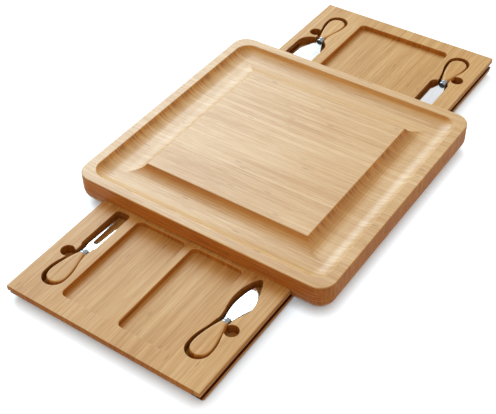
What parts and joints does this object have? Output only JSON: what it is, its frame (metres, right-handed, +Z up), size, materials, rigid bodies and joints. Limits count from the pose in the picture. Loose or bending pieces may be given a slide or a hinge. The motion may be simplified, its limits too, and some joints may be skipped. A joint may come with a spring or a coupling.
{
  "type": "cheese board with drawers",
  "caption": "Square bamboo serving board with a raised platform inside a coved channel, over drawers that slide out front and rear with food wells and pockets for cheese tools.",
  "frame": {"origin": "on the table, under the middle of the board", "axes": "+Z up, +Y along the rear drawer as it slides out, +X to the right of someone at the front drawer"},
  "size_m": [0.33, 0.638, 0.04],
  "materials": {
    "bamboo_board": "oiled, satin, grain across the slide",
    "bamboo_rail": "oiled, satin",
    "bamboo_drawer": "oiled, satin, grain along the slide",
    "bamboo_inner": "sanded, unoiled",
    "bamboo_handle": "oiled, satin",
    "polished_steel": "polished stainless steel",
    "ferrule_steel": "turned and lightly polished",
    "pad_rubber": "matte"
  },
  "bodies": {
    "board": {"tray_top": "bamboo_board", "left_side_rail": "bamboo_rail", "right_side_rail": "bamboo_rail", "left_runner": "bamboo_inner", "right_runner": "bamboo_inner", "centre_stop": "bamboo_inner", "feet": "pad_rubber"},
    "front_drawer": {"front_drawer_top": "bamboo_drawer", "front_drawer_core": "bamboo_drawer", "front_drawer_base": "bamboo_drawer"},
    "rear_drawer": {"rear_drawer_top": "bamboo_drawer", "rear_drawer_core": "bamboo_drawer", "rear_drawer_base": "bamboo_drawer"},
    "fork": {"fork_blade": "polished_steel", "fork_ferrule": "ferrule_steel", "fork_handle": "bamboo_handle"},
    "spade": {"spade_blade": "polished_steel", "spade_ferrule": "ferrule_steel", "spade_handle": "bamboo_handle"},
    "bell": {"bell_blade": "polished_steel", "bell_ferrule": "ferrule_steel", "bell_handle": "bamboo_handle"},
    "chisel": {"chisel_blade": "polished_steel", "chisel_ferrule": "ferrule_steel", "chisel_handle": "bamboo_handle"}
  },
  "joints": [
    {"name": "front_drawer_slide", "type": "slide", "parent": "board", "child": "front_drawer", "axis": [0, -1, 0], "range_m": [-0.154, 0.003]},
    {"name": "rear_drawer_slide", "type": "slide", "parent": "board", "child": "rear_drawer", "axis": [0, 1, 0], "range_m": [-0.154, 0.003]},
    {"name": "fork_lift", "type": "slide", "parent": "front_drawer", "child": "fork", "axis": [0, 0, 1], "range_m": [0, 0.04]},
    {"name": "spade_lift", "type": "slide", "parent": "front_drawer", "child": "spade", "axis": [0, 0, 1], "range_m": [0, 0.04]},
    {"name": "bell_lift", "type": "slide", "parent": "rear_drawer", "child": "bell", "axis": [0, 0, 1], "range_m": [0, 0.04]},
    {"name": "chisel_lift", "type": "slide", "parent": "rear_drawer", "child": "chisel", "axis": [0, 0, 1], "range_m": [0, 0.04]}
  ]
}
